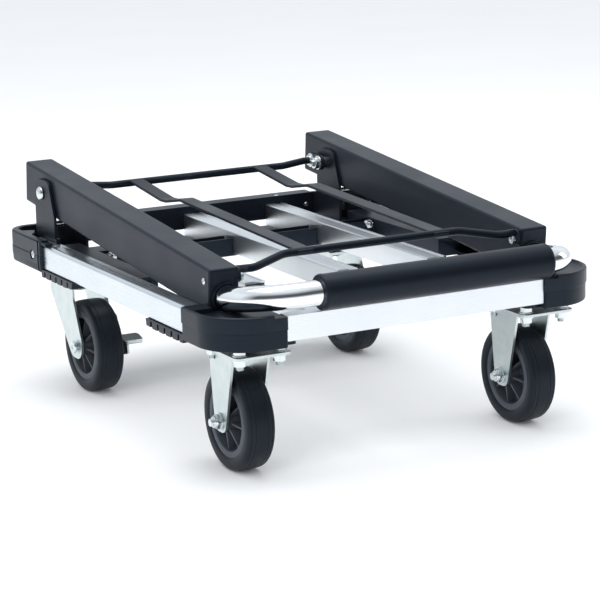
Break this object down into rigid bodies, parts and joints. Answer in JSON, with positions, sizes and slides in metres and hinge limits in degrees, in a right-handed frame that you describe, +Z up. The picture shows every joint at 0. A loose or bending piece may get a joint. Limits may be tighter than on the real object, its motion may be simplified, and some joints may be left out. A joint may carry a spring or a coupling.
{
  "type": "folding luggage cart",
  "caption": "Folding luggage cart with a telescoping slatted deck, fold-up arms with a pull-out handle, rigid front casters and braked swivel rear casters.",
  "frame": {"origin": "centre of the folded cart's bounding box, on the floor under the wheels", "axes": "+X to the cart's right, +Y to the rear where the handle arms hinge, +Z up; the handle grip is at the front (-Y) when folded"},
  "size_m": [0.431, 0.5486, 0.2414],
  "materials": {
    "satin_black_paint": "satin black powder coat",
    "black_plastic": "moulded, lightly textured",
    "black_foam_grip": "soft foam, matt",
    "satin_aluminium": "satin anodised extrusion",
    "bright_tube": "bright plated tube",
    "zinc_plated_steel": "zinc plated pressing",
    "black_tyre": "solid rubber",
    "dark_grey_rim": "moulded dark grey"
  },
  "bodies": {
    "chassis": {"rear_beam": "satin_aluminium", "cross_member": "satin_black_paint", "caster_deck": "satin_black_paint", "inner_channel_left": "satin_black_paint", "inner_channel_right": "satin_black_paint", "bracket_left": "satin_black_paint", "bracket_right": "satin_black_paint", "rear_bumper_left": "black_plastic", "rear_bumper_right": "black_plastic", "bumper_screw_left": "zinc_plated_steel", "bumper_screw_right": "zinc_plated_steel", "pivot_bolt_left": "zinc_plated_steel", "pivot_bolt_right": "zinc_plated_steel", "stop_pin_left": "zinc_plated_steel", "stop_pin_right": "zinc_plated_steel", "swivel_plate_left": "zinc_plated_steel", "swivel_plate_right": "zinc_plated_steel", "kingpin_left": "zinc_plated_steel", "kingpin_right": "zinc_plated_steel", "slat_left": "satin_aluminium", "slat_centre": "satin_aluminium", "slat_right": "satin_aluminium"},
    "front_deck": {"front_rail": "satin_aluminium", "side_rail_left": "satin_aluminium", "side_rail_right": "satin_aluminium", "front_bumper_left": "black_plastic", "front_bumper_right": "black_plastic", "front_fork_left": "zinc_plated_steel", "front_fork_right": "zinc_plated_steel", "front_axle_left": "zinc_plated_steel", "front_axle_right": "zinc_plated_steel", "front_slat_left": "satin_aluminium", "front_slat_centre": "satin_aluminium", "front_slat_right": "satin_aluminium"},
    "handle_base": {"arm_left": "satin_black_paint", "arm_right": "satin_black_paint", "arm_cap_left": "black_plastic", "arm_cap_right": "black_plastic", "rack": "satin_black_paint"},
    "handle_bar": {"handle_tube": "bright_tube", "handle_grip": "black_foam_grip"},
    "front_wheel_left": {"front_left_tyre": "black_tyre", "front_left_rim": "dark_grey_rim"},
    "rear_fork_left": {"swivel_fork_left": "zinc_plated_steel", "rear_axle_left": "zinc_plated_steel"},
    "rear_wheel_left": {"rear_left_tyre": "black_tyre", "rear_left_rim": "dark_grey_rim"},
    "brake_left": {"brake_pedal_left": "zinc_plated_steel"},
    "front_wheel_right": {"front_right_tyre": "black_tyre", "front_right_rim": "dark_grey_rim"},
    "rear_fork_right": {"swivel_fork_right": "zinc_plated_steel", "rear_axle_right": "zinc_plated_steel"},
    "rear_wheel_right": {"rear_right_tyre": "black_tyre", "rear_right_rim": "dark_grey_rim"},
    "brake_right": {"brake_pedal_right": "zinc_plated_steel"}
  },
  "joints": [
    {"name": "platform_extend", "type": "slide", "parent": "chassis", "child": "front_deck", "axis": [0, -1, 0], "range_m": [0, 0.2]},
    {"name": "handle_fold", "type": "hinge", "parent": "chassis", "child": "handle_base", "pos_m": [0, 0.2133, 0.2137], "axis": [-1, 0, 0], "range_deg": [0, 95]},
    {"name": "handle_slide", "type": "slide", "parent": "handle_base", "child": "handle_bar", "axis": [0, -0.9961, -0.0884], "range_m": [0, 0.28]},
    {"name": "front_wheel_spin_left", "type": "hinge", "parent": "front_deck", "child": "front_wheel_left", "pos_m": [-0.16, -0.1847, 0.05], "axis": [1, 0, 0], "continuous": true},
    {"name": "swivel_left", "type": "hinge", "parent": "chassis", "child": "rear_fork_left", "pos_m": [-0.16, 0.2033, 0.112], "axis": [0, 0, 1], "continuous": true},
    {"name": "rear_wheel_spin_left", "type": "hinge", "parent": "rear_fork_left", "child": "rear_wheel_left", "pos_m": [-0.16, 0.1669, 0.05], "axis": [1, 0, 0], "continuous": true},
    {"name": "brake_left_press", "type": "hinge", "parent": "rear_fork_left", "child": "brake_left", "pos_m": [-0.16, 0.1669, 0.05], "axis": [1, 0, 0], "range_deg": [0, 15], "stiffness_Nm_per_rad": 2},
    {"name": "front_wheel_spin_right", "type": "hinge", "parent": "front_deck", "child": "front_wheel_right", "pos_m": [0.16, -0.1847, 0.05], "axis": [1, 0, 0], "continuous": true},
    {"name": "swivel_right", "type": "hinge", "parent": "chassis", "child": "rear_fork_right", "pos_m": [0.16, 0.2033, 0.112], "axis": [0, 0, 1], "continuous": true},
    {"name": "rear_wheel_spin_right", "type": "hinge", "parent": "rear_fork_right", "child": "rear_wheel_right", "pos_m": [0.16, 0.1669, 0.05], "axis": [1, 0, 0], "continuous": true},
    {"name": "brake_right_press", "type": "hinge", "parent": "rear_fork_right", "child": "brake_right", "pos_m": [0.16, 0.1669, 0.05], "axis": [1, 0, 0], "range_deg": [0, 15], "stiffness_Nm_per_rad": 2}
  ],
  "couplings": [
    {"joint": "handle_slide", "follows": "handle_fold", "m_per_rad": 0.1688}
  ]
}
